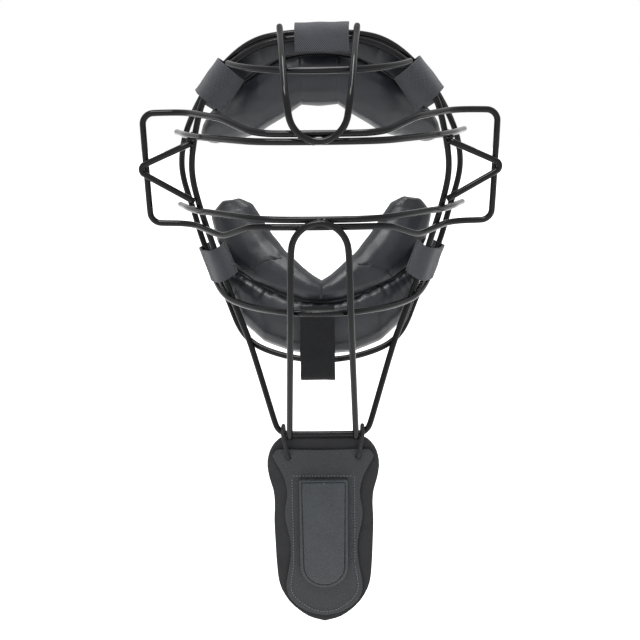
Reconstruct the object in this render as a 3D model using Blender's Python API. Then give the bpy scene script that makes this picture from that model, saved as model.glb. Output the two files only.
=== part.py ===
"""Umpire's face mask: a welded wire cage with hook-and-loop mounted forehead and chin
pads, and a throat protector that hangs from the cage on two laces.

Metres, +Z up. The front faces -Y and the mask is symmetric about X = 0. The origin is
the head seat: the middle of the rear ring's opening at eye level.
"""

import math

import bmesh
import bpy
from mathutils import Vector

MM = 0.001

# Driving dimensions, in millimetres.
WIRE = 5.0                 # coated wire of the whole cage
WIRE_SIDES = 8             # flats round a wire
WIRE_STEP = 11.0           # longest run between two points on a bent wire
GAP = 0.3                  # air kept between touching pieces
FOAM_GAP = 1.1             # between a pad's foam and its cover
TOUCH = WIRE + GAP         # centre to centre of two crossing wires

RING_HALF_WIDTH = 117.0    # rear ring, at eye level
RING_TOP = 106.0
RING_BOTTOM = -149.6
EYE_TOP = 30.5             # centre of the upper eye bar
EYE_BOTTOM = -25.0         # centre of the lower eye bar
BAR_FRONT = -131.0         # the eye bars' foremost point
BAR_PAIR = 5.5             # an eye bar and the ear loop's bar beside it
HOOP_FRONT = -50.5         # depth of the front hoop and the ear loops at the temples
STRUT_FRONT = HOOP_FRONT - TOUCH - 0.2
LOOP_FRONT = BAR_FRONT - TOUCH - 0.2
THROAT_BAR = (-79.0, -210.2)   # depth and height of the bar that the protector hangs on
THROAT_HALF = 36.4         # half the throat frame's width at that bar, sharp corner

LEATHER = 1.2              # pad cover
WEBBING = 1.6
LACE = 3.4
LACE_LOOP = 6.6            # radius of the lace's turn over the throat bar
LACE_HOLE = 4.6
LACE_HOLE_AT = (28.6, -229.0)  # half spacing and height of the two lace holes
BACKING = (-80.3, -75.0)   # front and back of the protector's felt
FACE = (-82.6, -80.6)      # front and back of its leather face
TONGUE_HALF = 20.0
TONGUE_TOP = -248.0
TONGUE_BOTTOM = -346.0
TONGUE_RISE = 4.6


def clear_scene():
    for item in list(bpy.data.objects):
        bpy.data.objects.remove(item, do_unlink=True)


def material(name, colour, roughness, metallic=0.0):
    made = bpy.data.materials.new(name)
    made.use_nodes = True
    shader = made.node_tree.nodes["Principled BSDF"]
    shader.inputs["Base Color"].default_value = (*colour, 1.0)
    shader.inputs["Roughness"].default_value = roughness
    shader.inputs["Metallic"].default_value = metallic
    return made


def link(name, data, finish):
    piece = bpy.data.objects.new(name, data)
    data.materials.append(finish)
    bpy.context.scene.collection.objects.link(piece)
    return piece


def millimetres(points):
    return [Vector(point) * MM for point in points]


# ---- paths -------------------------------------------------------------------------

def across(half, closed):
    """The whole of a left-right symmetric path, from the half that starts at X = 0."""
    left = [(-x, y, z) for x, y, z in reversed(half[1:])]
    if closed and abs(half[-1][0]) < 1e-6:
        left = left[1:]
    return left + list(half)


def smooth(points, closed, step):
    """Points on a Catmull-Rom curve through the given ones, at most step apart."""
    points = [Vector(point) for point in points]
    count = len(points)
    out = []
    for i in range(count if closed else count - 1):
        if closed:
            a, b, c, d = (points[(i + k) % count] for k in (-1, 0, 1, 2))
        else:
            b, c = points[i], points[i + 1]
            a = points[i - 1] if i else b * 2 - c
            d = points[i + 2] if i + 2 < count else c * 2 - b
        steps = max(1, math.ceil((c - b).length / step))
        for k in range(steps):
            t = k / steps
            out.append(0.5 * ((2 * b) + (c - a) * t + (2 * a - 5 * b + 4 * c - d) * t * t
                              + (3 * b - a - 3 * c + d) * t * t * t))
    if not closed:
        out.append(points[-1])
    return out


def bent(corners, closed, turn=22.0):
    """Straight runs joined by arcs. Each corner is (x, y, z, bend radius)."""
    points = [Vector(corner[:3]) for corner in corners]
    count = len(points)
    out = []
    for i, here in enumerate(points):
        radius = corners[i][3]
        if radius == 0 or (not closed and i in (0, count - 1)):
            out.append(here)
            continue
        back = (points[i - 1] - here).normalized()
        ahead = (points[(i + 1) % count] - here).normalized()
        half = back.angle(ahead) / 2
        middle = here + (back + ahead).normalized() * (radius / math.sin(half))
        start = here + back * (radius / math.tan(half)) - middle
        end = here + ahead * (radius / math.tan(half)) - middle
        swept = start.angle(end)
        steps = max(2, math.ceil(math.degrees(swept) / turn))
        for k in range(steps + 1):
            t = k / steps
            out.append(middle + (start * math.sin((1 - t) * swept)
                                 + end * math.sin(t * swept)) / math.sin(swept))
    return out


# ---- shapes ------------------------------------------------------------------------

def tube(name, path, finish, closed=False, width=WIRE, sides=WIRE_SIDES):
    """A round bar along a path in millimetres, with flat ends where it is open."""
    data = bpy.data.curves.new(name, "CURVE")
    data.dimensions = "3D"
    data.bevel_depth = width / 2 * MM
    data.bevel_resolution = sides // 2 - 2
    data.use_fill_caps = not closed
    line = data.splines.new("POLY")
    line.points.add(len(path) - 1)
    for point, place in zip(line.points, millimetres(path)):
        point.co = (*place, 1.0)
    line.use_cyclic_u = closed
    return link(name, data, finish)


def loft(name, sections, finish):
    """A closed skin over sections that have the same number of points."""
    shape = bmesh.new()
    rings = [[shape.verts.new(point) for point in millimetres(section)]
             for section in sections]
    for near, far in zip(rings, rings[1:]):
        for k in range(len(near)):
            shape.faces.new((near[k - 1], near[k], far[k], far[k - 1]))
    shape.faces.new(rings[0])
    shape.faces.new(rings[-1])
    bmesh.ops.recalc_face_normals(shape, faces=shape.faces)
    data = bpy.data.meshes.new(name)
    shape.to_mesh(data)
    shape.free()
    data.shade_smooth()
    data.set_sharp_from_angle(angle=math.radians(50))
    return link(name, data, finish)


def plate(name, outline, front, back, finish):
    """A flat piece: an outline of (x, z) points, extruded along Y."""
    shape = bmesh.new()
    verts = [shape.verts.new(point)
             for point in millimetres([(x, front, z) for x, z in outline])]
    made = bmesh.ops.extrude_face_region(shape, geom=[shape.faces.new(verts)])
    moved = [item for item in made["geom"] if isinstance(item, bmesh.types.BMVert)]
    bmesh.ops.translate(shape, verts=moved, vec=Vector((0, back - front, 0)) * MM)
    bmesh.ops.recalc_face_normals(shape, faces=shape.faces)
    data = bpy.data.meshes.new(name)
    shape.to_mesh(data)
    shape.free()
    return link(name, data, finish)


def cutter(name, centre, width, length):
    """A round cutter along Y."""
    shape = bmesh.new()
    bmesh.ops.create_cone(shape, cap_ends=True, segments=10, radius1=width / 2 * MM,
                          radius2=width / 2 * MM, depth=length * MM)
    data = bpy.data.meshes.new(name)
    shape.to_mesh(data)
    shape.free()
    piece = bpy.data.objects.new(name, data)
    piece.location = Vector(centre) * MM
    piece.rotation_euler = (math.radians(90), 0, 0)
    piece.hide_render = True
    piece.display_type = "WIRE"
    bpy.context.scene.collection.objects.link(piece)
    return piece


def drill(piece, tool):
    cut = piece.modifiers.new("hole", "BOOLEAN")
    cut.operation = "DIFFERENCE"
    cut.object = tool


def band(name, near, far, finish):
    """Webbing between two folded edges, each a list of as many points."""
    shape = bmesh.new()
    edges = []
    for edge in (near, far):
        verts = [shape.verts.new(point) for point in millimetres(edge)]
        edges += [shape.edges.new(pair) for pair in zip(verts, verts[1:])]
    bmesh.ops.bridge_loops(shape, edges=edges)
    bmesh.ops.recalc_face_normals(shape, faces=shape.faces)
    data = bpy.data.meshes.new(name)
    shape.to_mesh(data)
    shape.free()
    piece = link(name, data, finish)
    thick = piece.modifiers.new("webbing", "SOLIDIFY")
    thick.thickness = WEBBING * MM
    thick.offset = 0
    return piece


# ---- padded rolls ------------------------------------------------------------------
# A roll runs through stations (inner x, inner z, outer x, outer z, y, half thickness):
# its inner and outer edge in front view, the depth of its middle, and its fatness.

SECTION_POWER = 2.5
SKIN_POINTS = 7
SEAM_ANGLE = 4.0           # degrees left open between the two skins, at each seam


def rounded(station, degrees, grow):
    """A point round a station's section, which lies in a plane along Y."""
    inner_x, inner_z, outer_x, outer_z, depth, thick = station
    inner = Vector((inner_x, depth, inner_z))
    outer = Vector((outer_x, depth, outer_z))
    half = (outer - inner) / 2
    angle = math.radians(degrees)
    power = 2 / SECTION_POWER
    u = math.copysign(abs(math.cos(angle)) ** power, math.cos(angle))
    v = math.copysign(abs(math.sin(angle)) ** power, math.sin(angle))
    across_it = half.normalized() * (half.length + grow) * u
    return (inner + outer) / 2 + across_it + Vector((0, (thick + grow) * v, 0))


def roll(name, stations, leather, foam):
    """A foam core between a front skin and a back skin, sewn along both edges."""
    sides = {}
    for side, first in (("front", 180), ("back", 0)):
        sides[side] = [first + SEAM_ANGLE + (180 - 2 * SEAM_ANGLE) * k / (SKIN_POINTS - 1)
                       for k in range(SKIN_POINTS)]
        skin = [[rounded(station, a, 0) for a in sides[side]]
                + [rounded(station, a, -LEATHER) for a in reversed(sides[side])]
                for station in stations]
        loft(f"{name}_{side}", skin, leather)
    core = [[rounded(station, a, -LEATHER - FOAM_GAP) for a in sides["front"] + sides["back"]]
            for station in stations]
    loft(name + "_foam", core, foam)


def mirrored(stations):
    return [(-s[0], s[1], -s[2], s[3], s[4], s[5]) for s in stations]


# ---- the cage ----------------------------------------------------------------------

def rear_ring(steel):
    half = [(0, -61, RING_TOP), (24, -59.5, 105.3), (46, -55, 101.5), (62, -48.5, 93),
            (76, -39.5, 81), (88, -29, 67.5), (98, -20, 53.2), (108, -8.5, 36),
            (114.2, -2.5, 20), (RING_HALF_WIDTH, 0, 2), (115, -0.5, -14),
            (108.5, -3, -35.5), (100.8, -10, -60.5), (90, -20.5, -85), (78.5, -32, -108),
            (68.5, -46, -128), (58.5, -55, -137.6), (46, -61, -143.2),
            (24, -67.5, -148), (0, -70, RING_BOTTOM)]
    path = smooth(across(half, True), True, WIRE_STEP)
    tube("rear_ring", path, steel, closed=True)


def front_hoop(steel):
    depth, height = THROAT_BAR
    half = [(0, -65.2, 102.6), (24, -64, 101.4), (46, -61.2, 96), (66, -57.4, 84.5),
            (80, -53.8, 71.5), (91, HOOP_FRONT, 55), (97.3, HOOP_FRONT, 33),
            (101, HOOP_FRONT, 13), (101.4, -50.7, -2), (99, -51, -16), (94.6, -51.6, -33),
            (88, -52.6, -54), (80.8, -53.6, -77), (73.5, -55, -98), (66.5, -57.8, -117),
            (58.8, -61.5, -136)]
    upper = across(half, False)
    leg = (THROAT_HALF + 10.2, -70.5, -176, 0)
    corner = (THROAT_HALF, depth, height, 12)
    lower = bent([(*half[-1], 0), leg, corner, *[(-x, y, z, r) for x, y, z, r in (corner, leg)],
                  (-half[-1][0], *half[-1][1:], 0)], False)
    path = smooth(upper, False, WIRE_STEP) + lower[1:-1]
    tube("front_hoop", path, steel, closed=True)


def brow_bar(steel):
    half = [(0, -112, 79), (26, -109, 79.3), (46, -97, 80.5), (60, -80, 82),
            (66.5, -69, 83.3), (69, -64, 84)]
    tube("brow_bar", smooth(across(half, False), False, WIRE_STEP), steel)


def eye_bar(name, level, tip_level, steel):
    fall = tip_level - level
    half = [(0, BAR_FRONT, level), (29, BAR_FRONT + 1.5, level), (47, -124, level),
            (60, -113, level), (73, -98, level + fall * 0.1), (85, -83, level + fall * 0.2),
            (93.5, -69.3, level + fall * 0.4), (105.5, -46.5, level + fall * 0.6),
            (113, -24, level + fall * 0.8), (118.5, -7, tip_level)]
    tube(name, smooth(across(half, False), False, WIRE_STEP), steel)


def ear_loop(steel):
    upper = EYE_TOP + BAR_PAIR
    lower = EYE_BOTTOM - BAR_PAIR
    right = [(36, BAR_FRONT + 2.2, upper, 30), (50, -121, upper + 1.5, 30),
             (72, -97.5, upper + 9.5, 60), (105, -50, upper + 11.5, 26),
             (139, -50, upper + 11, 9), (136.5, -50, lower - 9, 9),
             (103, -50, lower - 9.5, 26), (74, -94, lower - 13, 40),
             (52, -119, lower - 1.5, 30), (36, BAR_FRONT + 2.2, lower, 30)]
    left = [(-x, y, z, r) for x, y, z, r in reversed(right)]
    corners = ([(0, BAR_FRONT, upper, 0)] + right + [(0, BAR_FRONT, lower, 0)] + left)
    tube("ear_loop", bent(corners, True, turn=15.0), steel, closed=True)


def ear_struts(steel):
    corners = [(100.4, STRUT_FRONT, 24.2, 0), (146, STRUT_FRONT, 4.3, 4.5),
               (100, STRUT_FRONT, -21.8, 0)]
    tube("ear_strut_right", bent(corners, False), steel)
    mirrored_corners = [(-x, y, z, r) for x, y, z, r in corners]
    tube("ear_strut_left", bent(mirrored_corners, False), steel)


def arch(half_width, level, end_sign, depth, steps=7):
    """Half of a round arch, from X = 0 to where it meets its leg."""
    points = []
    for k in range(steps):
        angle = math.radians(90 * k / (steps - 1))
        points.append((half_width * math.sin(angle), depth,
                       level + end_sign * half_width * math.cos(angle)))
    return points


def crown_loop(steel):
    half = arch(21.0, EYE_TOP + 21.5, -1, LOOP_FRONT)
    half += [(22.6, -134, 61), (24, -125.5, 72), (25.4, -110, 85), (27, -90, 97),
             (28.2, -75.5, 104.5), (29, -66.5, 110.5)]
    tube("crown_loop", smooth(across(half, False), False, WIRE_STEP), steel)


def chin_loop(steel):
    half = arch(20.8, EYE_BOTTOM - 22.3, 1, LOOP_FRONT)
    half += [(21.4, LOOP_FRONT, -62), (21.9, -135.5, -82), (22.6, -130, -105),
             (24.4, -112, -149), (27.0, THROAT_BAR[0] - TOUCH, -211.5)]
    tube("chin_loop", smooth(across(half, False), False, WIRE_STEP), steel)


def chin_bar(steel):
    half = [(0, -126.5, -96), (18, -124, -96), (32, -117, -96.5), (50, -98.5, -98.5),
            (63, -81, -99.5), (75.6, -62.6, -98.6), (83.5, -45, -95.5), (88.8, -28.5, -92)]
    tube("chin_bar", smooth(across(half, False), False, WIRE_STEP), steel)


# ---- pads and straps ---------------------------------------------------------------

FOREHEAD_LOBE = [(14.6, 53.5, 14.6, 90.5, -47.5, 13), (27, 45, 30, 86.5, -45, 14.5),
                 (40, 37, 48, 76, -37.5, 15), (51, 29.5, 66, 63.5, -25, 14.5),
                 (62, 26, 81, 50, -13.5, 13), (75, 23, 90.5, 43, -6, 11.5),
                 (86, 20.5, 95.5, 35, -1.5, 9), (92.5, 22, 97.5, 29, 0, 5)]
FOREHEAD_MIDDLE = [(-13.6, 52.5, -13.6, 90.5, -47.5, 12), (0, 52, 0, 91, -48, 13.5),
                   (13.6, 52.5, 13.6, 90.5, -47.5, 12)]
CHEEK_ROLL = [(68, -30, 84, -32, -4, 6), (58.5, -33.5, 92, -42, -5, 12),
              (50.5, -45, 87, -62, -10, 14), (41, -57.5, 76, -80, -18, 14.5),
              (30, -69.5, 57, -91.5, -29, 14.5), (18, -79, 35, -99.5, -38, 14),
              (8, -86.5, 16, -104, -44, 13), (0.9, -90.5, 0.9, -105.5, -46, 12)]
CHIN_CUP = [(80, -85.5, 76, -106, -16, 5), (64, -89, 65, -128, -27, 11),
            (45, -97.6, 47, -141.5, -38, 13), (23, -104, 24, -148.5, -45, 13.5),
            (0, -106.8, 0, -150, -47.5, 13.5)]


def forehead_pad(leather, foam):
    roll("forehead_lobe_right", FOREHEAD_LOBE, leather, foam)
    roll("forehead_lobe_middle", FOREHEAD_MIDDLE, leather, foam)
    roll("forehead_lobe_left", mirrored(FOREHEAD_LOBE), leather, foam)


def chin_pad(leather, foam):
    roll("cheek_roll_right", CHEEK_ROLL, leather, foam)
    roll("cheek_roll_left", mirrored(CHEEK_ROLL), leather, foam)
    roll("chin_cup", CHIN_CUP + mirrored(CHIN_CUP)[-2::-1], leather, foam)


def forehead_flange(leather):
    """The flat sewn edge of the forehead pad, between its lobes and the rear ring."""
    half = [(0, 91, 0, 103, -56.5), (24, 89.4, 27, 101, -55), (41, 82.3, 47, 94, -49.5),
            (58, 72.8, 65, 82, -40), (74, 59, 81, 67, -27.5), (86, 46, 94, 52, -14)]
    stations = [(-a, b, -c, d, y) for a, b, c, d, y in reversed(half[1:])] + half
    sections = []
    for inner_x, inner_z, outer_x, outer_z, depth in stations:
        front = depth
        back = depth + 2.4
        sections.append([(inner_x, front, inner_z), (outer_x, front, outer_z),
                         (outer_x, back, outer_z), (inner_x, back, inner_z)])
    loft("forehead_flange", sections, leather)


def centre_strap(name, profile, middle, width, webbing):
    """A strap round the ring at X = middle, from (y, z) points."""
    edges = []
    for x in (middle - width / 2, middle + width / 2):
        edges.append(smooth([(x, y, z) for y, z in profile], False, 6.0))
    band(name, *edges, webbing)


def centre_straps(webbing):
    crown = [(-69.6, 91.5), (-70.2, 100), (-69.3, 108), (-64, 112.6), (-56, 111.5),
             (-52.3, 104), (-51.8, 96)]
    centre_strap("forehead_strap_middle", crown, 2.5, 41.0, webbing)
    chin = [(-66.5, -105), (-73.5, -120), (-76.2, -138), (-77, -153), (-75.5, -162),
            (-70.8, -166), (-66.3, -161.5), (-64.8, -155)]
    centre_strap("chin_strap_middle", chin, -3.5, 28.0, webbing)


def side_strap(name, bearing, near, near_profile, far, far_profile, webbing):
    """A strap whose edges lie in planes at this bearing from +Z, as (radius, y) points.

    near and far are how far each edge lies from the plane through the origin.
    """
    for side, sign in (("right", 1), ("left", -1)):
        out = Vector((sign * math.sin(bearing), 0, math.cos(bearing)))
        along = Vector((sign * math.cos(bearing), 0, -math.sin(bearing)))
        edges = []
        for shift, profile in ((near, near_profile), (far, far_profile)):
            points = [out * radius + along * shift + Vector((0, depth, 0))
                      for radius, depth in profile]
            edges.append(smooth(points, False, 30.0))
        band(f"{name}_{side}", *edges, webbing)


def side_straps(webbing):
    upper = [(90, -46), (98, -57.5), (106, -61.8), (113, -59.5), (116, -52), (116.4, -43),
             (113.5, -36.5), (107, -34.5)]
    lower = [(87, -37), (96.5, -51.5), (106, -55.6), (112, -53), (115.5, -42), (115.9, -25),
             (113, -18.5), (106, -16)]
    side_strap("forehead_strap", math.radians(49), -15.5, upper, 15.5, lower, webbing)
    upper = [(94, -38), (96.4, -50), (99, -57), (103, -59.2), (107.8, -56), (114, -39),
             (119.8, -20), (121.3, -10), (118, -4.8), (110, -4)]
    lower = [(94, -42), (97.4, -50.5), (100.2, -58), (104.5, -60.4), (109.3, -57.3),
             (114.5, -44), (119.4, -31), (120.8, -21), (117, -15.5), (109, -14.5)]
    side_strap("chin_strap", math.radians(112), 23.2, upper, 50.2, lower, webbing)


# ---- the throat protector ----------------------------------------------------------

BACKING_EDGE = [(0, -213.4), (30, -213.6), (37, -215.5), (42.4, -222), (45.3, -229.5),
                (46.2, -238), (44.6, -249), (41.8, -259.5), (40.9, -271), (41.6, -287),
                (41.2, -304), (40.4, -327), (38.6, -345), (34, -357), (26.5, -367.5),
                (14, -377.5), (0, -382)]
FACE_EDGE = [(0, -223), (30, -222.2), (38.5, -222.8), (41.8, -227.5), (37.2, -237),
             (32.5, -247.5), (30.2, -259.5), (31.2, -269.5), (32.6, -279.5),
             (30.8, -292), (28.3, -305), (28.4, -319.5), (30.4, -332), (32.4, -345),
             (30.8, -355.5), (24.8, -364), (13, -372), (0, -374.6)]


def closed_outline(half, step=7.0):
    """A symmetric (x, z) outline from its right half, top to bottom."""
    right = smooth([(x, 0, z) for x, z in half], False, step)
    left = [Vector((-p.x, 0, p.z)) for p in reversed(right[1:-1])]
    return [(p.x, p.z) for p in right + left]


def tongue_outline(inset):
    """The protector's raised tongue: square at the top, round at the bottom."""
    half = TONGUE_HALF - inset
    centre = TONGUE_BOTTOM + TONGUE_HALF
    points = [(half, TONGUE_TOP - inset)]
    for k in range(11):
        angle = math.radians(-180 * k / 10)
        points.append((half * math.cos(angle), centre + half * math.sin(angle)))
    return points + [(-half, TONGUE_TOP - inset)]


def tongue_shell(leather):
    """Moulded leather with an open back, over the stiff plate."""
    wall = 1.3
    rims = [(0, FACE[0] - GAP), (0, FACE[0] - GAP - TONGUE_RISE + 1.5),
            (1.5, FACE[0] - GAP - TONGUE_RISE), (wall + 1.5, FACE[0] - GAP - TONGUE_RISE + wall),
            (wall, FACE[0] - GAP - TONGUE_RISE + wall + 1.2), (wall, FACE[0] - GAP)]
    shape = bmesh.new()
    rings = [[shape.verts.new(Vector((x, depth, z)) * MM) for x, z in tongue_outline(inset)]
             for inset, depth in rims]
    for near, far in zip(rings, rings[1:] + rings[:1]):
        if near is rings[2]:
            continue
        for k in range(len(near)):
            shape.faces.new((near[k - 1], near[k], far[k], far[k - 1]))
    shape.faces.new(rings[2])
    shape.faces.new(rings[3])
    bmesh.ops.recalc_face_normals(shape, faces=shape.faces)
    data = bpy.data.meshes.new("throat_tongue")
    shape.to_mesh(data)
    shape.free()
    link("throat_tongue", data, leather)


def lace(side, sign, cord):
    """A closed loop over the throat bar and through the protector's hole."""
    depth, height = THROAT_BAR
    hole_x, hole_z = LACE_HOLE_AT
    top_x = 32.3
    profile = []
    for k in range(9):
        angle = math.radians(180 * k / 8)
        profile.append((depth - LACE_LOOP * math.cos(angle),
                        height + 0.6 + LACE_LOOP * math.sin(angle)))
    bend = 2.4
    for mid_y, start in ((depth + LACE_LOOP - bend, 0), (depth - LACE_LOOP + bend, -90)):
        for k in range(3):
            angle = math.radians(start - 45 * k)
            profile.append((mid_y + bend * math.cos(angle),
                            hole_z + bend + bend * math.sin(angle)))
    points = []
    for y, z in profile:
        lean = (z - hole_z) / (height - hole_z)
        points.append((sign * (hole_x + (top_x - hole_x) * min(lean, 1.0)), y, z))
    tube(f"throat_lace_{side}", points, cord, closed=True, width=LACE)


def throat_protector(leather, felt, plastic, cord):
    hinge = bpy.data.objects.new("throat_hinge", None)
    hinge.location = Vector((0, *THROAT_BAR)) * MM
    bpy.context.scene.collection.objects.link(hinge)
    backing = plate("throat_backing", closed_outline(BACKING_EDGE), *BACKING, felt)
    face = plate("throat_face", closed_outline(FACE_EDGE), *FACE, leather)
    for side, sign in (("right", 1), ("left", -1)):
        x, z = LACE_HOLE_AT
        tool = cutter(f"lace_hole_{side}", (sign * x, THROAT_BAR[0], z), LACE_HOLE, 20)
        drill(backing, tool)
        drill(face, tool)
        lace(side, sign, cord)
    tongue_shell(leather)
    back = FACE[0] - GAP * 2
    plate("throat_plate", tongue_outline(3.4), back - 2.2, back, plastic)
    bpy.context.view_layer.update()
    for piece in bpy.data.objects:
        if piece.name.startswith("throat_") and piece is not hinge:
            piece.parent = hinge
            piece.matrix_parent_inverse = hinge.matrix_world.inverted()


def main():
    clear_scene()
    steel = material("black_powder_coat", (0.012, 0.012, 0.014), 0.28)
    vinyl = material("black_padded_leather", (0.02, 0.02, 0.022), 0.42)
    foam = material("grey_foam", (0.22, 0.22, 0.22), 0.95)
    webbing = material("black_webbing", (0.035, 0.036, 0.04), 0.85)
    leather = material("black_grain_leather", (0.025, 0.026, 0.028), 0.5)
    felt = material("black_felt", (0.03, 0.03, 0.032), 0.95)
    plastic = material("black_plastic", (0.02, 0.02, 0.02), 0.5)
    cord = material("black_lace", (0.03, 0.03, 0.033), 0.8)
    rear_ring(steel)
    front_hoop(steel)
    brow_bar(steel)
    eye_bar("eye_bar_upper", EYE_TOP, EYE_TOP - 1.5, steel)
    eye_bar("eye_bar_lower", EYE_BOTTOM, EYE_BOTTOM - 6.0, steel)
    ear_loop(steel)
    ear_struts(steel)
    crown_loop(steel)
    chin_loop(steel)
    chin_bar(steel)
    forehead_pad(vinyl, foam)
    forehead_flange(vinyl)
    chin_pad(vinyl, foam)
    centre_straps(webbing)
    side_straps(webbing)
    throat_protector(leather, felt, plastic, cord)


main()
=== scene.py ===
import math
import bmesh
import bpy
from mathutils import Matrix, Vector, noise
from mathutils.bvhtree import BVHTree
from mathutils.kdtree import KDTree


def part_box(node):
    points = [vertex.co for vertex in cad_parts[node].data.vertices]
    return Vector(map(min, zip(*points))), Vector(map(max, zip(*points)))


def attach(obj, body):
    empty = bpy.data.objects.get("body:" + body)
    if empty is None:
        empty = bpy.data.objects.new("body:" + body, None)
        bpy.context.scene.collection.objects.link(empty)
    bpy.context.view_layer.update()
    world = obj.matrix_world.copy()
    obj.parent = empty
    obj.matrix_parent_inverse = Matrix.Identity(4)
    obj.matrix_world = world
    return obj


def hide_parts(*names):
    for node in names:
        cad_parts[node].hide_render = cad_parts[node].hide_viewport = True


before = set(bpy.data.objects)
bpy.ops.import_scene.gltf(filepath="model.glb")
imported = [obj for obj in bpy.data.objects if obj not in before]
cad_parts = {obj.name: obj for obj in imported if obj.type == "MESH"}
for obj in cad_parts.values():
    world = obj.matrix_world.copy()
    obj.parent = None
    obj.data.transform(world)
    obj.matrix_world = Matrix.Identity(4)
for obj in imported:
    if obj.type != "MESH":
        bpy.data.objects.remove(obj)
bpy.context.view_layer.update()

# Looks for the face mask: coated wire, stuffed leather pads, webbing and the throat protector.

mm = 0.001
scene = bpy.context.scene
wireNodes = ["rear_ring", "front_hoop", "brow_bar", "eye_bar_upper", "eye_bar_lower", "ear_loop",
             "ear_strut_right", "ear_strut_left", "crown_loop", "chin_loop", "chin_bar"]


# camera: nearly a metre in front, a little above, looking down

view = {"place": (8.72, -841.16, 90.61), "pitch": 15.0, "yaw": 0.748, "roll": 0.695, "lens": 55.97}


def addCamera():
    data = bpy.data.cameras.new("camera")
    data.lens = view["lens"]
    data.sensor_width = 36
    data.clip_start = 0.05
    camera = bpy.data.objects.new("camera", data)
    scene.collection.objects.link(camera)
    turn = (Matrix.Rotation(math.radians(view["yaw"]), 4, "Z")
            @ Matrix.Rotation(math.radians(90 - view["pitch"]), 4, "X")
            @ Matrix.Rotation(math.radians(-view["roll"]), 4, "Z"))
    camera.matrix_world = Matrix.Translation(Vector(view["place"]) * mm) @ turn
    scene.camera = camera


addCamera()


# shader maths

class Socket:
    # one output socket; arithmetic on it adds Math nodes
    def __init__(self, tree, socket):
        self.tree = tree
        self.socket = socket

    def math(self, operation, *values):
        return self.make("ShaderNodeMath", {"operation": operation}, dict(enumerate(values)))

    def make(self, kind, settings=None, inputs=None, output=0):
        node = self.tree.nodes.new(kind)
        for name, value in (settings or {}).items():
            if name == "stops":
                ramp = node.color_ramp.elements
                for element, (place, shade) in zip(ramp, value):
                    element.position = place
                    element.color = (shade, shade, shade, 1)
            else:
                setattr(node, name, value)
        for name, value in (inputs or {}).items():
            if isinstance(value, Socket):
                self.tree.links.new(value.socket, node.inputs[name])
            else:
                node.inputs[name].default_value = value
        return Socket(self.tree, node.outputs[output])

    def __add__(self, other):
        return self.math("ADD", self, other)

    def __radd__(self, other):
        return self.math("ADD", other, self)

    def __sub__(self, other):
        return self.math("SUBTRACT", self, other)

    def __rsub__(self, other):
        return self.math("SUBTRACT", other, self)

    def __mul__(self, other):
        return self.math("MULTIPLY", self, other)

    def __rmul__(self, other):
        return self.math("MULTIPLY", other, self)


def newMaterial(name, colour, roughness, **fixed):
    made = bpy.data.materials.new(name)
    made.use_nodes = True
    tree = made.node_tree
    shader = tree.nodes["Principled BSDF"]
    shader.inputs["Base Color"].default_value = (*colour, 1)
    shader.inputs["Roughness"].default_value = roughness
    for key, value in fixed.items():
        shader.inputs[key].default_value = value
    place = Socket(tree, tree.nodes.new("ShaderNodeTexCoord").outputs["Object"])
    return made, shader, place


def plug(shader, **wires):
    names = {"colour": "Base Color", "roughness": "Roughness", "normal": "Normal"}
    for key, wire in wires.items():
        wire.tree.links.new(wire.socket, shader.inputs[names[key]])


def speckle(place, size, detail=2.0, rough=0.5):
    # soft noise of a given size in millimetres, 0 to 1
    return place.make("ShaderNodeTexNoise", {"noise_dimensions": "3D"},
                      {"Vector": place, "Scale": 1 / (size * mm), "Detail": detail, "Roughness": rough})


def cells(place, size, feature="F1"):
    return place.make("ShaderNodeTexVoronoi", {"feature": feature},
                      {"Vector": place, "Scale": 1 / (size * mm)})


def spread(wire, low, high, outLow=0.0, outHigh=1.0):
    return wire.make("ShaderNodeMapRange", {}, {"Value": wire, "From Min": low, "From Max": high,
                                                "To Min": outLow, "To Max": outHigh})


def bump(height, depth, strength=1.0, under=None):
    inputs = {"Height": height, "Distance": depth * mm, "Strength": strength}
    if under:
        inputs["Normal"] = under
    return height.make("ShaderNodeBump", {}, inputs)


def blendColour(factor, low, high):
    return factor.make("ShaderNodeMix", {"data_type": "RGBA"},
                       {0: factor, 6: (*low, 1), 7: (*high, 1)}, output=2)


def scaled(colour, tone):
    return [channel * tone for channel in colour]


def powderCoat():
    made, shader, place = newMaterial("powderCoat", (0.008, 0.008, 0.009), 0.2)
    shader.inputs["Specular IOR Level"].default_value = 0.16
    peel = speckle(place, 2.4, 2.0)
    flow = speckle(place, 22, 2.0)
    plug(shader, roughness=spread(flow, 0.3, 0.7, 0.13, 0.2),
         normal=bump(peel, 0.03, 0.3),
         colour=blendColour(flow, (0.003, 0.003, 0.0035), (0.006, 0.006, 0.007)))
    return made


def padLeather(tone=1.0):
    made, shader, place = newMaterial("padLeather", (0.010, 0.010, 0.011), 0.4)
    shader.inputs["Specular IOR Level"].default_value = 0.42
    grain = cells(place, 0.9, "DISTANCE_TO_EDGE")
    broad = speckle(place, 26, 3.0)
    fine = speckle(place, 4.5, 3.0, 0.5)
    base = bump(fine, 0.12, 0.4)
    plug(shader, colour=blendColour(broad, scaled((0.0052, 0.0058, 0.0082), tone),
                                    scaled((0.0128, 0.0142, 0.0192), tone)),
         roughness=spread(broad, 0.3, 0.7, 0.32, 0.44) + spread(fine, 0.3, 0.7, -0.03, 0.04),
         normal=bump(spread(grain, 0.0, 0.25), 0.05, 0.4, base))
    return made


weaving = {"rib": 1.5, "pick": 1.3, "wander": 2.0}      # thread spacing, and how far the ribs stray


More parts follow.
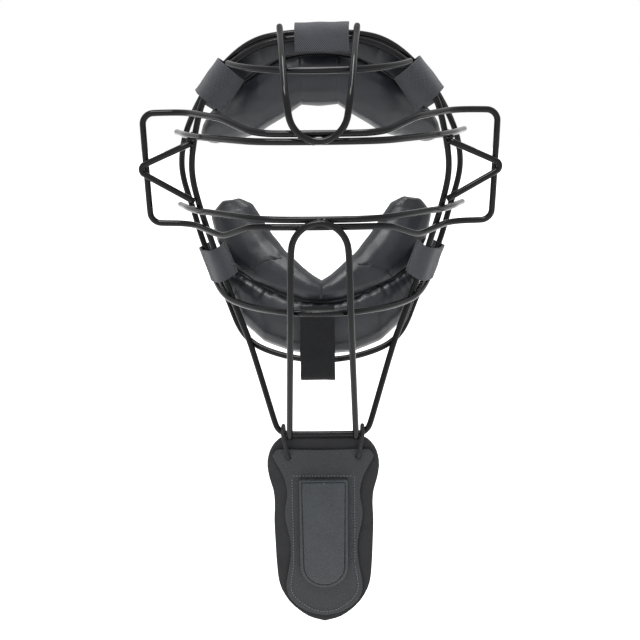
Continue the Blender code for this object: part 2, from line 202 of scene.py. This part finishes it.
def webbingWeave(tone=1.0):
    made, shader, place = newMaterial("webbingWeave", (0.03, 0.031, 0.035), 0.8)
    shader.inputs["Specular IOR Level"].default_value = 0.2
    shader.inputs["Sheen Weight"].default_value = 0.1 * tone
    shader.inputs["Sheen Roughness"].default_value = 0.5
    run = place.make("ShaderNodeAttribute", {"attribute_name": "run"}, output=2)
    across = place.make("ShaderNodeAttribute", {"attribute_name": "across"}, output=2)
    ribPhase = across * (2 * math.pi / weaving["rib"]) + speckle(place, 5, 2.0) * weaving["wander"]
    pickPhase = run * (2 * math.pi / weaving["pick"])
    ribs = ribPhase.math("SINE", ribPhase)
    picks = pickPhase.math("SINE", pickPhase)
    weave = ribs * picks * 0.5 + 0.5
    fuzz = speckle(place, 0.7, 3.0)
    broad = speckle(place, 14, 2.0)
    shade = spread(weave, 0.15, 0.85) * 0.6 + fuzz * 0.2 + broad * 0.2
    plug(shader, colour=blendColour(shade, scaled((0.005, 0.0053, 0.0062), tone),
                                    scaled((0.072, 0.0755, 0.087), tone)),
         roughness=spread(weave, 0, 1, 0.9, 0.66), normal=bump(weave + fuzz * 0.5, 0.35, 0.9))
    return made


def feltCloth():
    made, shader, place = newMaterial("feltCloth", (0.03, 0.03, 0.033), 0.95)
    shader.inputs["Specular IOR Level"].default_value = 0.15
    shader.inputs["Sheen Weight"].default_value = 0.06
    shader.inputs["Sheen Roughness"].default_value = 0.6
    fibres = speckle(place, 0.8, 5.0, 0.7)
    broad = speckle(place, 18, 3.0)
    plug(shader, colour=blendColour(fibres * 0.6 + broad * 0.4, (0.002, 0.002, 0.0023),
                                    (0.032, 0.0326, 0.035)),
         normal=bump(fibres, 0.5, 0.7))
    return made


def grainLeather(tone=1.0, shine=0.0):
    made, shader, place = newMaterial("grainLeather", (0.03, 0.032, 0.035), 0.42)
    shader.inputs["Specular IOR Level"].default_value = 0.26
    pebbles = cells(place, 1.15, "SMOOTH_F1")
    creases = cells(place, 1.15, "DISTANCE_TO_EDGE")
    broad = speckle(place, 20, 3.0)
    fine = speckle(place, 0.5, 2.0)
    height = spread(creases, 0.0, 0.3) * 0.8 - pebbles * 0.3
    plug(shader, colour=blendColour(spread(creases, 0, 0.2) * 0.5 + broad * 0.5,
                                    scaled((0.0066, 0.0076, 0.0088), tone),
                                    scaled((0.0275, 0.0312, 0.035), tone)),
         roughness=spread(broad, 0.3, 0.7, 0.38 - shine, 0.52 - shine) - spread(creases, 0, 0.2, 0, 0.06),
         normal=bump(height + fine * 0.15, 0.26, 1.0))
    return made


def threadFinish(tone=1.0):
    made, shader, place = newMaterial("stitchThread", (0.015, 0.015, 0.017), 0.6)
    twist = speckle(place, 0.25, 1.0)
    plug(shader, colour=blendColour(twist, scaled((0.008, 0.008, 0.009), tone),
                                    scaled((0.03, 0.03, 0.033), tone)),
         normal=bump(twist, 0.05, 0.5))
    return made


def laceFinish():
    made, shader, place = newMaterial("laceCord", (0.03, 0.031, 0.034), 0.7)
    shader.inputs["Specular IOR Level"].default_value = 0.2
    plait = cells(place, 0.9, "DISTANCE_TO_EDGE")
    fuzz = speckle(place, 0.5, 3.0)
    plug(shader, colour=blendColour(spread(plait, 0, 0.3), (0.005, 0.005, 0.006), (0.028, 0.0285, 0.031)),
         normal=bump(spread(plait, 0, 0.3) + fuzz * 0.4, 0.18, 0.8))
    return made


# the darker webbing copy (tone 0.14, with less sheen) is painted shade: a shaded copy of the webbing for
# the chin strap's middle band, which hangs in shade under the chin
finish = {"coat": powderCoat(), "pad": padLeather(), "seam": padLeather(0.25),
          "webbing": webbingWeave(), "shadedWebbing": webbingWeave(0.14), "felt": feltCloth(),
          "grain": grainLeather(), "tongue": grainLeather(1.4, 0.2), "thread": threadFinish(),
          "brightThread": threadFinish(6.0), "lace": laceFinish()}


# mesh tools

def meshFrom(node):
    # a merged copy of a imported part
    shape = bmesh.new()
    shape.from_mesh(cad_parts[node].data)
    bmesh.ops.remove_doubles(shape, verts=shape.verts, dist=1e-5)
    return shape


def quadsFrom(node, limit=0.6):
    shape = meshFrom(node)
    bmesh.ops.join_triangles(shape, faces=shape.faces, angle_face_threshold=limit,
                             angle_shape_threshold=3.1)
    return shape


def camelName(node):
    words = node.split("_")
    return words[0] + "".join(word.capitalize() for word in words[1:])


def pieceOf(shape, name, material, body):
    data = bpy.data.meshes.new(name)
    shape.to_mesh(data)
    shape.free()
    data.shade_smooth()
    piece = bpy.data.objects.new(name, data)
    scene.collection.objects.link(piece)
    piece.data.materials.append(material)
    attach(piece, body)
    return piece


def bake(piece):
    # the piece's modifiers, applied
    graph = bpy.context.evaluated_depsgraph_get()
    data = bpy.data.meshes.new_from_object(piece.evaluated_get(graph))
    old = piece.data
    piece.modifiers.clear()
    piece.data = data
    bpy.data.meshes.remove(old)
    data.name = piece.name


def subdivide(piece, levels):
    modifier = piece.modifiers.new("smooth", "SUBSURF")
    modifier.levels = levels
    modifier.render_levels = levels
    bake(piece)


def slide(piece, move):
    # moves each vertex by move(place, normal)
    places = [move(v.co.copy(), v.normal.copy()) for v in piece.data.vertices]
    for vertex, place in zip(piece.data.vertices, places):
        vertex.co = place
    piece.data.update()


# the cage

wireSkin = {"capAngle": 1.1, "crease": 0.8, "regain": 0.244}     # regain: what rounding takes off


def creaseCaps(shape):
    layer = shape.edges.layers.float.new("crease_edge")
    for edge in shape.edges:
        if len(edge.link_faces) == 2 and edge.calc_face_angle() > wireSkin["capAngle"]:
            edge[layer] = wireSkin["crease"]


def smoothWire(node):
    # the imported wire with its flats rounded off
    shape = quadsFrom(node)
    creaseCaps(shape)
    wire = pieceOf(shape, camelName(node), finish["coat"], "mask")
    subdivide(wire, 2)
    slide(wire, lambda place, normal: place + normal * wireSkin["regain"] * mm)
    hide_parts(node)
    return wire


wires = [smoothWire(node) for node in wireNodes]
print("cage wires", len(wires))


weld = {"reach": 0.45, "apart": 5.0, "size": (2.9, 2.9, 1.7), "most": 3, "lump": 0.3,
        "grain": 1.4, "lowest": -200}


def swollen(wire):
    # a slightly fatter copy of a wire, to find what it nearly touches
    shape = bmesh.new()
    shape.from_mesh(wire.data)
    shape.normal_update()
    for vertex in shape.verts:
        vertex.co += vertex.normal * weld["reach"] * mm
    tree = BVHTree.FromBMesh(shape)
    middles = [face.calc_center_median() for face in shape.faces]
    normals = [face.normal.copy() for face in shape.faces]
    shape.free()
    return tree, middles, normals


def contacts(first, second):
    # groups of places where two wires meet: a middle and the direction between the wires
    pairs = first[0].overlap(second[0])
    groups = []
    for a, b in sorted(pairs):
        middle = (first[1][a] + second[1][b]) / 2
        for group in groups:
            if (group["sum"] / group["count"] - middle).length < weld["apart"] * mm:
                group["sum"] += middle
                group["normal"] += first[2][a] - second[2][b]
                group["count"] += 1
                break
        else:
            groups.append({"sum": middle.copy(), "normal": first[2][a] - second[2][b], "count": 1})
    return [(g["sum"] / g["count"], g["normal"].normalized()) for g in groups]


def addBead(shape, middle, normal, seed):
    side = normal.orthogonal().normalized()
    other = normal.cross(side)
    turn = Matrix((side, other, normal)).transposed().to_4x4()
    bead = bmesh.ops.create_icosphere(shape, subdivisions=3, radius=1.0)["verts"]
    for vertex in bead:
        lump = 1 + weld["lump"] * noise.noise(vertex.co * weld["grain"] + Vector((seed, 0, 0)))
        place = Vector([c * s for c, s in zip(vertex.co, weld["size"])]) * lump * mm
        vertex.co = middle + turn @ place


def weldBeads():
    shape = bmesh.new()
    ready = [swollen(wire) for wire in wires]
    seed = 0
    for i, first in enumerate(ready):
        for second in ready[i + 1:]:
            found = sorted(contacts(first, second), key=lambda g: g[0].x)
            if len(found) > weld["most"]:       # wires that run side by side show no bead
                continue
            for middle, normal in found:
                if middle.z < weld["lowest"] * mm:      # clear of the swinging protector
                    continue
                seed += 1
                addBead(shape, middle, normal, seed)
    pieceOf(shape, "weldBeads", finish["coat"], "mask")
    print("welds", seed)


weldBeads()


# pads

chinHalf = [(0, -46.5, -106.2), (16, -45, -104.4), (35, -39.5, -100), (57, -29.5, -91.9),
            (64, -26, -88.3), (76, -17, -83), (84, -10, -76)]
crownHalf = [(0, -52, 91), (27, -50, 88.2), (45, -44, 79.3), (62, -33, 68.2), (77.5, -20, 54.8),
             (88, -10, 44.7), (95, -6, 37)]


def bothSides(half):
    return [(-x, y, z) for x, y, z in half[:0:-1]] + half


def curveThrough(points, step=1.0):
    # evenly spaced places on a smooth curve, in millimetres
    points = [Vector(p) for p in points]
    ends = [points[0] * 2 - points[1]] + points + [points[-1] * 2 - points[-2]]
    dense = []
    for a, b, c, d in zip(ends, ends[1:], ends[2:], ends[3:]):
        for k in range(12):
            t = k / 12
            dense.append(0.5 * ((2 * b) + (c - a) * t + (2 * a - 5 * b + 4 * c - d) * t * t
                                + (3 * b - a - 3 * c + d) * t * t * t))
    dense.append(points[-1])
    places = [dense[0]]
    left = step
    for a, b in zip(dense, dense[1:]):
        gap = (b - a).length
        while gap >= left:
            a = a + (b - a) * (left / gap)
            gap -= left
            places.append(a.copy())
            left = step
        left -= gap
    return places


class Seam:
    # a sewn line, and how far a place is from it and along it
    def __init__(self, points):
        self.points = [p * mm for p in curveThrough(points)]
        self.tree = KDTree(len(self.points))
        for i, point in enumerate(self.points):
            self.tree.insert(point, i)
        self.tree.balance()

    def near(self, place):
        point, index, distance = self.tree.find(place)
        return distance / mm, float(index)


def pad(name, nodes, settings, seams=()):
    shape = meshFrom(nodes[0])
    bmesh.ops.recalc_face_normals(shape, faces=shape.faces)
    shape.normal_update()
    for vertex in shape.verts:
        edgewise = 1 - abs(vertex.normal.y)
        vertex.co += vertex.normal * (settings["grow"] + settings["edgeGrow"] * edgewise) * mm
    piece = pieceOf(shape, name, finish["pad"], "mask")
    remesh = piece.modifiers.new("remesh", "REMESH")
    remesh.mode = "VOXEL"
    remesh.voxel_size = settings["voxel"] * mm
    even = piece.modifiers.new("even", "SMOOTH")
    even.iterations = settings["even"]
    even.factor = 0.5
    bake(piece)
    stuff(piece, settings)
    subdivide(piece, 1)
    pucker(piece, settings, seams)
    piece.data.shade_smooth()
    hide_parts(*nodes)
    print("pad", name, len(piece.data.polygons))


inflate = {"quality": 6, "mass": 0.25, "stretch": 18, "shear": 8, "frames": 20}


def stuff(piece, settings):
    # inflates the cover against its sewn rim, then caps how far each point has moved
    rim = piece.vertex_groups.new(name="rim")
    for vertex in piece.data.vertices:
        if abs(vertex.normal.y) < settings["rim"]:
            rim.add([vertex.index], 1.0, "REPLACE")
    before = [v.co.copy() for v in piece.data.vertices]
    cloth = piece.modifiers.new("cloth", "CLOTH")
    cloth.settings.quality = inflate["quality"]
    cloth.settings.mass = inflate["mass"]
    cloth.settings.tension_stiffness = inflate["stretch"]
    cloth.settings.compression_stiffness = inflate["stretch"]
    cloth.settings.shear_stiffness = inflate["shear"]
    cloth.settings.bending_stiffness = settings["stiff"]
    cloth.settings.use_pressure = True
    cloth.settings.uniform_pressure_force = settings["pressure"]
    cloth.settings.shrink_min = settings["shrink"]
    cloth.settings.vertex_group_mass = "rim"
    cloth.settings.pin_stiffness = 1.0
    cloth.settings.effector_weights.gravity = 0
    cloth.collision_settings.use_collision = False
    scene.frame_start = 1
    scene.frame_end = inflate["frames"]
    for moment in range(1, inflate["frames"] + 1):
        scene.frame_set(moment)
    bake(piece)
    cap = settings["cap"] * mm
    for vertex, place in zip(piece.data.vertices, before):
        move = vertex.co - place
        if move.length > cap:
            vertex.co = place + move.normalized() * cap
    scene.frame_set(1)
    piece.data.update()


swell = {"broad": 17, "fine": 7, "share": 0.2, "drift": 30.0, "flat": 1.5}     # millimetres


def pucker(piece, settings, seams):
    # gathers the cover towards each seam, and lets it roll gently elsewhere
    def move(place, normal):
        depth = settings["roll"] * noise.noise(place / (swell["broad"] * mm))
        depth += settings["roll"] * swell["share"] * noise.noise(place / (swell["fine"] * mm))
        for seam, gather in seams:
            away, along = seam.near(place)
            if away > gather["reach"] * 3:
                continue
            fade = math.exp(-away / gather["reach"])
            wave = noise.noise(Vector((along / gather["pitch"], away / swell["drift"], gather["seed"])))
            depth += gather["fold"] * wave * fade * min(1.0, away / swell["flat"])
            depth -= gather["valley"] * math.exp(-(away / gather["groove"]) ** 2)
        return place + normal * depth * mm
    slide(piece, move)


chinSeam = Seam(bothSides(chinHalf))
leftCross = Seam([(-73, -20, -77.3), (-63, -22, -82), (-52.8, -30, -76.4), (-42.3, -38, -71.9),
                  (-32.1, -44, -71.2)])
rightCross = Seam([(29.8, -48, -75.9), (39.8, -42, -76.9), (52.6, -32, -82.9), (60, -24, -90)])
crownSeam = Seam(bothSides(crownHalf))
middleRight = Seam([(14, -60, 52), (14.2, -62, 70), (14.4, -57, 91)])
middleLeft = Seam([(-14, -60, 52), (-14.2, -62, 70), (-14.4, -57, 91)])

rollPad = {"grow": 2.4, "edgeGrow": 1.8, "voxel": 1.8, "even": 3, "fill": 0.75, "rim": 0.16, "stiff": 4.0,
           "pressure": 5.0, "shrink": 0.0, "cap": 1.6, "roll": 0.5}
browPad = rollPad | {"grow": 2.2, "stiff": 8.0, "cap": 1.0, "roll": 0.35}
gatherUp = {"reach": 12.0, "pitch": 5.0, "seed": 3.1, "fold": 2.3, "valley": 0.2, "groove": 1.6}
gatherFine = {"reach": 6.0, "pitch": 6.0, "seed": 8.4, "fold": 0.9, "valley": 0.9, "groove": 1.2}
gatherCrown = {"reach": 7.0, "pitch": 9.0, "seed": 5.2, "fold": 0.5, "valley": 0.1, "groove": 2.0}
gatherRim = {"reach": 8.0, "pitch": 6.5, "seed": 6.7, "fold": 0.6, "valley": 0.2, "groove": 1.6}

for side, cross in (("right", rightCross), ("left", leftCross)):
    pad(f"cheekRoll{side.capitalize()}",
        [f"cheek_roll_{side}_foam", f"cheek_roll_{side}_front", f"cheek_roll_{side}_back"],
        rollPad, [(chinSeam, gatherRim), (cross, gatherFine)])
pad("chinCup", ["chin_cup_foam", "chin_cup_front", "chin_cup_back"],
    rollPad | {"roll": 0.6}, [(chinSeam, gatherUp)])
for side, seam in (("right", middleRight), ("left", middleLeft)):
    pad(f"foreheadLobe{side.capitalize()}",
        [f"forehead_lobe_{side}_foam", f"forehead_lobe_{side}_front", f"forehead_lobe_{side}_back"],
        browPad, [(crownSeam, gatherCrown), (seam, gatherFine)])
pad("foreheadMiddle", ["forehead_lobe_middle_foam", "forehead_lobe_middle_front",
                       "forehead_lobe_middle_back"],
    browPad | {"roll": 0.25}, [(middleRight, gatherFine), (middleLeft, gatherFine)])


# sewn lines on the pads

piping = {"chin": 1.7, "chinForward": 4.0, "crown": 1.5, "cheek": 0.6, "proud": 0.1, "round": 2}


def tubeAlong(name, places, radius):
    data = bpy.data.curves.new(name, "CURVE")
    data.dimensions = "3D"
    data.bevel_depth = radius * mm
    data.bevel_resolution = piping["round"]
    data.use_fill_caps = True
    line = data.splines.new("POLY")
    line.points.add(len(places) - 1)
    for point, place in zip(line.points, places):
        point.co = (*place, 1)
    curve = bpy.data.objects.new(name, data)
    scene.collection.objects.link(curve)
    graph = bpy.context.evaluated_depsgraph_get()
    mesh = bpy.data.meshes.new_from_object(curve.evaluated_get(graph))
    bpy.data.objects.remove(curve)
    shape = bmesh.new()
    shape.from_mesh(mesh)
    bpy.data.meshes.remove(mesh)
    bmesh.ops.remove_doubles(shape, verts=shape.verts, dist=1e-6)
    bmesh.ops.recalc_face_normals(shape, faces=shape.faces)
    # the welts take the quarter-tone copy of the pad leather: painted shade for the dark valleys along
    # the seams between the pads
    pieceOf(shape, name, finish["seam"], "mask")


def surfaceOf(*names):
    # one tree of several pieces' faces
    shape = bmesh.new()
    for name in names:
        shape.from_mesh(bpy.data.objects[name].data)
    tree = BVHTree.FromBMesh(shape)
    shape.free()
    return tree


def onto(target, place, proud):
    # straight back from the front onto the surface, standing proud by that many millimetres
    start = Vector((place.x, place.y - 0.05, place.z))
    hit, normal = target.ray_cast(start, Vector((0, 1, 0)), 0.1)[:2]
    if hit is None or (hit - place).length > 0.02:
        hit, normal = target.find_nearest(place)[:2]
    return hit + normal * proud * mm


chinSurface = surfaceOf("cheekRollRight", "cheekRollLeft", "chinCup")


def looseWelt(name, seam, short, radius, forward=0.0):
    # along the seam, stopping short of both its ends
    tubeAlong(name, [p - Vector((0, forward * mm, 0)) for p in seam.points[short:-short]], radius)


def laidWelt(name, seam):
    tubeAlong(name, [onto(chinSurface, p, piping["proud"]) for p in seam.points], piping["cheek"])


looseWelt("chinWelt", chinSeam, 8, piping["chin"], piping["chinForward"])
looseWelt("crownWelt", crownSeam, 10, piping["crown"])
laidWelt("cheekWeltLeft", leftCross)
laidWelt("cheekWeltRight", rightCross)
print("welts")


# flat flange of the forehead pad

def gridCut(shape, axis, step, low, high):
    count = max(1, round((high - low) / step))
    for k in range(1, count):
        place = axis * (low + (high - low) * k / count)
        geometry = shape.verts[:] + shape.edges[:] + shape.faces[:]
        bmesh.ops.bisect_plane(shape, geom=geometry, plane_co=place, plane_no=axis, dist=1e-6)


flange = {"middle": 99, "widen": 4.6, "full": 42, "cut": 4, "edge": 0.7, "ripple": 0.5, "size": 9}


def flangeSkin():
    shape = quadsFrom("forehead_flange", 0.9)
    low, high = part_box("forehead_flange")
    gridCut(shape, Vector((1, 0, 0)), flange["cut"] * mm, low.x, high.x)
    for vertex in shape.verts:      # the outer edge reaches on, behind the ring
        radius = math.hypot(vertex.co.x, vertex.co.z)
        if radius > flange["middle"] * mm:
            reach = flange["widen"] * mm * min(1.0, abs(vertex.co.x) / (flange["full"] * mm))
            vertex.co.x *= 1 + reach / radius
            vertex.co.z *= 1 + reach / radius
    piece = pieceOf(shape, "foreheadFlange", finish["pad"], "mask")
    bevel = piece.modifiers.new("edge", "BEVEL")
    bevel.width = flange["edge"] * mm
    bevel.segments = 3
    bevel.limit_method = "ANGLE"
    bevel.angle_limit = math.radians(50)
    bake(piece)
    slide(piece, lambda place, normal: place + normal * flange["ripple"] * mm
          * noise.noise(place / (flange["size"] * mm)))
    piece.data.shade_smooth()
    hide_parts("forehead_flange")


flangeSkin()
print("flange")


# webbing straps

straps = [("forehead_strap_middle", Vector((1, 0, 0)), Vector((0, 0, -1))),
          ("chin_strap_middle", Vector((1, 0, 0)), Vector((0, 0, 1)))]
for side, sign in (("right", 1), ("left", -1)):
    for node, bearing in ((f"forehead_strap_{side}", 49), (f"chin_strap_{side}", 112)):
        turn = math.radians(bearing)
        straps.append((node, Vector((sign * math.cos(turn), 0, -math.sin(turn))),
                       Vector((-sign * math.sin(turn), 0, -math.cos(turn)))))

strapCloth = {"edge": 0.9, "cut": 4.0, "wave": 0.45, "size": 11}


def strap(node, across, inward, cloth="webbing"):
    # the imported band, cut finely, rounded and given its run and width for the weave
    shape = quadsFrom(node, 0.35)
    reach = [v.co @ across for v in shape.verts]
    low, high = min(reach), max(reach)
    edge = strapCloth["edge"] * mm
    stops = [low + edge * 0.5, low + edge * 2, high - edge * 2, high - edge * 0.5]
    count = round((high - low) / (strapCloth["cut"] * mm))
    stops += [low + (high - low) * k / count for k in range(1, count)]
    for stop in stops:
        geometry = shape.verts[:] + shape.edges[:] + shape.faces[:]
        bmesh.ops.bisect_plane(shape, geom=geometry, plane_co=across * stop, plane_no=across, dist=1e-6)
    piece = pieceOf(shape, camelName(node), finish[cloth], "mask")
    subdivide(piece, 2)
    slide(piece, lambda place, normal: place + normal * strapCloth["wave"] * mm
          * noise.noise(place / (strapCloth["size"] * mm)))
    middle = sum((v.co for v in piece.data.vertices), Vector()) / len(piece.data.vertices)
    upright = across.cross(inward)
    turns = []
    for vertex in piece.data.vertices:
        arm = vertex.co - middle
        angle = math.atan2(arm @ upright, -(arm @ inward))
        radius = (arm - across * (arm @ across)).length
        turns.append((angle, radius))
    mean = sum(r for _, r in turns) / len(turns)
    run = piece.data.attributes.new("run", "FLOAT", "POINT")
    width = piece.data.attributes.new("across", "FLOAT", "POINT")
    run.data.foreach_set("value", [a * mean / mm for a, _ in turns])
    width.data.foreach_set("value", [(v.co @ across) / mm for v in piece.data.vertices])
    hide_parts(node)


# the chin strap's middle band gets the darker webbing copy, painted shade for where it hangs below the
# chin bar
for node, across, inward in straps:
    strap(node, across, inward, "shadedWebbing" if node == "chin_strap_middle" else "webbing")
print("straps", len(straps))


# stitches

strapThread = {"pitch": 2.2, "length": 2.4, "radius": 0.3, "zigzag": 0.8, "proud": 0.15,
               "finish": "thread", "row": [(79, -60, -57), (74, -60, -69), (69.5, -60, -82)]}


def stitchRow(name, target, points, thread, body):
    # short threads laid along a line, each a stretched ball
    shape = bmesh.new()
    places = curveThrough(points, thread["pitch"])
    length, radius = thread["length"] * mm, thread["radius"] * mm
    for i, (a, b) in enumerate(zip(places, places[1:])):
        run = (b - a).normalized()
        middle = onto(target, (a + b) / 2 * mm, thread["proud"])
        normal = target.find_nearest(middle)[1]
        side = normal.cross(run).normalized()
        run = (run + side * thread["zigzag"] * (1 if i % 2 else -1)).normalized()
        side = normal.cross(run).normalized()
        turn = Matrix((run, side, normal)).transposed().to_4x4()
        stretch = Matrix.Diagonal((length / 2, radius, radius, 1))
        bmesh.ops.create_uvsphere(shape, u_segments=6, v_segments=5, radius=1.0,
                                  matrix=Matrix.Translation(middle) @ turn @ stretch)
    pieceOf(shape, name, finish[thread["finish"]], body)


for side, sign in (("Right", 1), ("Left", -1)):
    row = [(sign * x, y, z) for x, y, z in strapThread["row"]]
    stitchRow(f"chinStrapStitches{side}", surfaceOf(f"chinStrap{side}"), row, strapThread, "mask")
print("strap stitches")


# throat protector

sheets = {"throat_backing": {"cloth": "felt", "slot": "protector_felt", "edge": 1.2},
          "throat_face": {"cloth": "grain", "slot": "protector_leather", "edge": 0.5}}
ripple = {"step": 4.0, "height": 0.5, "size": 26}


def softPlate(node, sheet):
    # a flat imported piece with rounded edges, cut into a grid so that it can ripple
    shape = meshFrom(node)
    bmesh.ops.dissolve_limit(shape, angle_limit=0.02, verts=shape.verts, edges=shape.edges)
    sharp = [e for e in shape.edges if len(e.link_faces) == 2 and e.calc_face_angle() > 1.0]
    bmesh.ops.bevel(shape, geom=sharp, offset=sheet["edge"] * mm, offset_type="OFFSET", segments=3,
                    profile=0.5, affect="EDGES", material=-1)
    low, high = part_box(node)
    gridCut(shape, Vector((1, 0, 0)), ripple["step"] * mm, low.x, high.x)
    gridCut(shape, Vector((0, 0, 1)), ripple["step"] * mm, low.z, high.z)
    bmesh.ops.triangulate(shape, faces=shape.faces)
    piece = pieceOf(shape, camelName(node), finish[sheet["cloth"]], "throat_protector")
    slide(piece, lambda place, normal: place + Vector((0, 1, 0)) * ripple["height"] * mm
          * noise.noise(place / (ripple["size"] * mm)))
    piece.data.set_sharp_from_angle(angle=math.radians(45))
    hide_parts(node)


tongue = {"rim": 2.4, "groove": 0.7, "lip": 0.5, "edge": 0.35, "steps": 28}


def tongueShell():
    # pressed leather: a raised round-ended panel with a step round its edge
    low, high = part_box("throat_tongue")
    radius = (high.x - low.x) / 2
    shape = bmesh.new()
    centre = low.z + radius
    first = shape.verts.new((radius, high.y, high.z))
    bmesh.ops.spin(shape, geom=[shape.verts.new((radius, high.y, centre))],
                   cent=(0, high.y, centre), axis=(0, 1, 0), angle=math.pi, steps=tongue["steps"])
    shape.verts.ensure_lookup_table()
    arc = shape.verts[1:]
    last = shape.verts.new((-radius, high.y, high.z))
    outline = [first] + list(arc) + [last]
    face = shape.faces.new(outline)
    rest = [e for e in shape.edges if not e.link_faces]
    bmesh.ops.delete(shape, geom=rest, context="EDGES")
    bmesh.ops.recalc_face_normals(shape, faces=shape.faces)
    if face.normal.y > 0:
        face.normal_flip()
    rise = high.y - low.y
    lift = bmesh.ops.extrude_face_region(shape, geom=[face])
    top = [g for g in lift["geom"] if isinstance(g, bmesh.types.BMFace)][0]
    bmesh.ops.translate(shape, verts=top.verts, vec=(0, -(rise - tongue["groove"] * mm), 0))
    bmesh.ops.inset_region(shape, faces=[top], thickness=tongue["rim"] * mm)
    for depth in (-tongue["groove"], 2 * tongue["groove"]):
        bmesh.ops.inset_region(shape, faces=[top], thickness=tongue["lip"] * mm, depth=depth * mm)
    bmesh.ops.recalc_face_normals(shape, faces=shape.faces)
    sharp = [e for e in shape.edges if len(e.link_faces) == 2 and e.calc_face_angle() > 0.5]
    bmesh.ops.bevel(shape, geom=sharp, offset=tongue["edge"] * mm, offset_type="OFFSET", segments=3,
                    profile=0.5, affect="EDGES", material=-1)
    piece = pieceOf(shape, "throatTongue", finish["tongue"], "throat_protector")
    piece.data.set_sharp_from_angle(angle=math.radians(50))
    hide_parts("throat_tongue")


for node, sheet in sheets.items():
    softPlate(node, sheet)
tongueShell()
faceSurface = surfaceOf("throatFace")
throatThread = {"x": 25.8, "y": -83, "top": -245.6, "foot": -326.0, "pitch": 2.6, "length": 1.7,
                "radius": 0.36, "zigzag": 0.0, "proud": 0.15, "finish": "brightThread"}


def throatStitches():
    # round the tongue, and on down round the foot of the leather
    x, top, foot = throatThread["x"], throatThread["top"], throatThread["foot"]
    lowHalf = [(11, -368.6), (21.5, -361), (27, -354), (28.6, -345), (x, foot)]
    rows = {"throatStitches": [(-x, foot), (-x, -300), (-x, -262), (-x, top)],
            "throatStitchesRight": [(x, top), (x, -262), (x, -300), (x, foot)],
            "throatStitchesTop": [(-x, top), (-8, top), (8, top), (x, top)],
            "throatStitchesFoot": [(-a, b) for a, b in lowHalf[::-1]] + [(0, -371)] + lowHalf}
    for name, outline in rows.items():
        points = [(a, throatThread["y"], b) for a, b in outline]
        stitchRow(name, faceSurface, points, throatThread, "throat_protector")


throatStitches()


laceCord = {"regain": 0.17}


def lace(side):
    shape = quadsFrom(f"throat_lace_{side}")
    piece = pieceOf(shape, f"throatLace{side.capitalize()}", finish["lace"], "throat_protector")
    subdivide(piece, 2)
    slide(piece, lambda place, normal: place + normal * laceCord["regain"] * mm)
    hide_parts(f"throat_lace_{side}")


for side in ("right", "left"):
    lace(side)
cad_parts["throat_plate"].data.materials.clear()
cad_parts["throat_plate"].data.materials.append(finish["thread"])
print("throat protector")


# light and floor

lights = {"keyLight": {"place": (-0.35, -0.75, 1.4), "aim": (0, 0, -0.05), "size": (0.8, 0.5),
                       "power": 22},
          "topLight": {"place": (0.05, -0.05, 1.3), "aim": (0, -0.05, 0), "size": (0.9, 0.45),
                       "power": 16}}


def addLight(name, lamp):
    data = bpy.data.lights.new(name, "AREA")
    data.shape = "RECTANGLE"
    data.size, data.size_y = lamp["size"]
    data.energy = lamp["power"]
    light = bpy.data.objects.new(name, data)
    scene.collection.objects.link(light)
    light.location = lamp["place"]
    aim = Vector(lamp["aim"]) - Vector(lamp["place"])
    light.rotation_euler = aim.to_track_quat("-Z", "Y").to_euler()


floor = {"level": -1.1, "half": 12.0, "glow": 0.75}     # metres; the glow is its own light


def paleFloor():
    shape = bmesh.new()
    bmesh.ops.create_grid(shape, x_segments=1, y_segments=1, size=floor["half"])
    bmesh.ops.translate(shape, verts=shape.verts, vec=(0, 0, floor["level"]))
    data = bpy.data.meshes.new("floor")
    shape.to_mesh(data)
    shape.free()
    piece = bpy.data.objects.new("floor", data)
    scene.collection.objects.link(piece)
    pale = bpy.data.materials.new("paleFloor")
    pale.use_nodes = True
    shader = pale.node_tree.nodes["Principled BSDF"]
    shader.inputs["Base Color"].default_value = (0.95, 0.95, 0.95, 1)
    shader.inputs["Roughness"].default_value = 0.95
    shader.inputs["Emission Color"].default_value = (1, 1, 1, 1)
    shader.inputs["Emission Strength"].default_value = floor["glow"]
    piece.data.materials.append(pale)


def studio():
    world = bpy.data.worlds.new("studio")
    world.use_nodes = True
    background = world.node_tree.nodes["Background"]
    background.inputs["Color"].default_value = (1, 1, 1, 1)
    background.inputs["Strength"].default_value = 1.0
    scene.world = world
    paleFloor()
    for name, lamp in lights.items():
        addLight(name, lamp)
    scene.view_settings.view_transform = "Standard"


studio()
print("studio")
